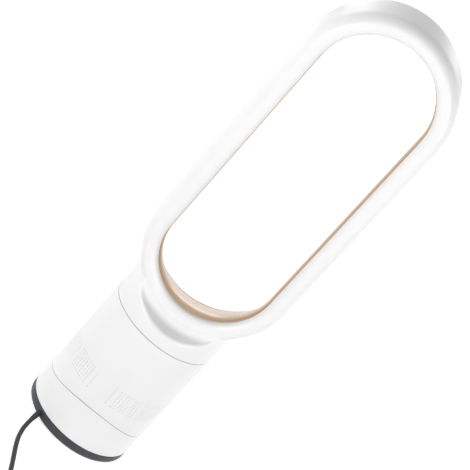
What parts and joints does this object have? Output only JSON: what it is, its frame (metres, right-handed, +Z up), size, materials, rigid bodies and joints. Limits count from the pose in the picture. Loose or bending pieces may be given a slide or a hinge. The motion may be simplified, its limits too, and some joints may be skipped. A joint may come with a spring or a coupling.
{
  "type": "bladeless fan",
  "caption": "Bladeless fan: tall oval air loop on a cylindrical body that tilts on a turning base, with the impeller hidden in the body.",
  "frame": {"origin": "middle of the underside, on the surface the fan stands on", "axes": "+Z up, air blows out towards -Y, the controls face -Y, the mains lead leaves at the rear, +Y, to the +X side"},
  "size_m": [0.204, 0.406, 0.7015],
  "materials": {
    "white_shell": "smooth satin white moulding",
    "gold_band": "metallised champagne gold",
    "dark_shell": "dark slate grey moulding",
    "soft_rubber": "matt",
    "mount_rubber": "matt",
    "acetal": "waxy",
    "inner_grey": "plain moulding",
    "rotor_plastic": "glass filled",
    "steel": "zinc plated",
    "bearing_steel": "ground",
    "motor_steel": "plated can",
    "circuit_board": "green laminate",
    "window_tint": "tinted, polished",
    "button_white": "satin",
    "foam": "open cell foam",
    "cord_jacket": "matt slate grey",
    "pin_brass": "nickel free brass"
  },
  "bodies": {
    "foot": {"foot_dish": "dark_shell", "rubber_feet": "soft_rubber", "slide_ring": "acetal", "fixed_gear": "acetal", "gear_screws": "steel", "pivot_retainer": "acetal", "retainer_screws": "steel", "cord_gland": "cord_jacket", "cord_lead": "cord_jacket", "cord_coil": "cord_jacket", "cord_tail": "cord_jacket", "plug_body": "cord_jacket", "plug_pins": "pin_brass"},
    "turning_base": {"base_shell": "white_shell", "rotor_plate": "inner_grey", "base_screws": "steel", "cradle_plate": "inner_grey", "cradle_screws": "steel", "swing_motor": "motor_steel", "motor_screws": "steel", "control_board": "circuit_board", "power_board": "circuit_board", "display_window": "window_tint"},
    "pinion": {"swing_pinion": "acetal"},
    "power_key": {"power_button": "button_white"},
    "airflow_down_key": {"airflow_down_button": "button_white"},
    "airflow_up_key": {"airflow_up_button": "button_white"},
    "swing_key": {"swing_button": "button_white"},
    "fan_body": {"shoe_plate": "inner_grey", "tilt_washer": "steel", "tilt_bolt": "steel", "inlet_shroud": "white_shell", "window_frame": "inner_grey", "silencing_foam": "foam", "impeller_housing": "inner_grey", "housing_mounts": "mount_rubber", "housing_seal": "foam", "diffuser": "inner_grey", "lower_bucket": "inner_grey", "upper_bucket": "inner_grey", "motor_can": "motor_steel", "lower_bearing": "bearing_steel", "upper_bearing": "bearing_steel", "neck_ring": "inner_grey", "neck_seal": "mount_rubber", "nozzle_casing": "white_shell", "inner_band": "gold_band", "slot_spacers": "inner_grey"},
    "rotor": {"impeller": "rotor_plastic", "motor_shaft": "bearing_steel"}
  },
  "joints": [
    {"name": "swing", "type": "hinge", "parent": "foot", "child": "turning_base", "pos_m": [0, 0, 0.0162], "axis": [0, 0, 1], "range_deg": [-35, 35]},
    {"name": "pinion_turn", "type": "hinge", "parent": "turning_base", "child": "pinion", "pos_m": [0, 0.045, 0.009], "axis": [0, 0, 1], "range_deg": [-175.5, 175.5]},
    {"name": "tilt", "type": "hinge", "parent": "turning_base", "child": "fan_body", "pos_m": [0, 0, 0.2075], "axis": [1, 0, 0], "range_deg": [-10, 10]},
    {"name": "rotor_spin", "type": "hinge", "parent": "fan_body", "child": "rotor", "pos_m": [0, 0, 0.15], "axis": [0, 0, 1], "continuous": true},
    {"name": "power_press", "type": "slide", "parent": "turning_base", "child": "power_key", "axis": [0, 1, 0], "range_m": [0, 0.001], "stiffness_N_per_m": 500, "springref_m": -0.0005},
    {"name": "airflow_down_press", "type": "slide", "parent": "turning_base", "child": "airflow_down_key", "axis": [0, 1, 0], "range_m": [0, 0.001], "stiffness_N_per_m": 500, "springref_m": -0.0005},
    {"name": "airflow_up_press", "type": "slide", "parent": "turning_base", "child": "airflow_up_key", "axis": [0, 1, 0], "range_m": [0, 0.001], "stiffness_N_per_m": 500, "springref_m": -0.0005},
    {"name": "swing_press", "type": "slide", "parent": "turning_base", "child": "swing_key", "axis": [0, 1, 0], "range_m": [0, 0.001], "stiffness_N_per_m": 500, "springref_m": -0.0005}
  ],
  "couplings": [
    {"joint": "pinion_turn", "follows": "swing", "ratio": 5}
  ]
}
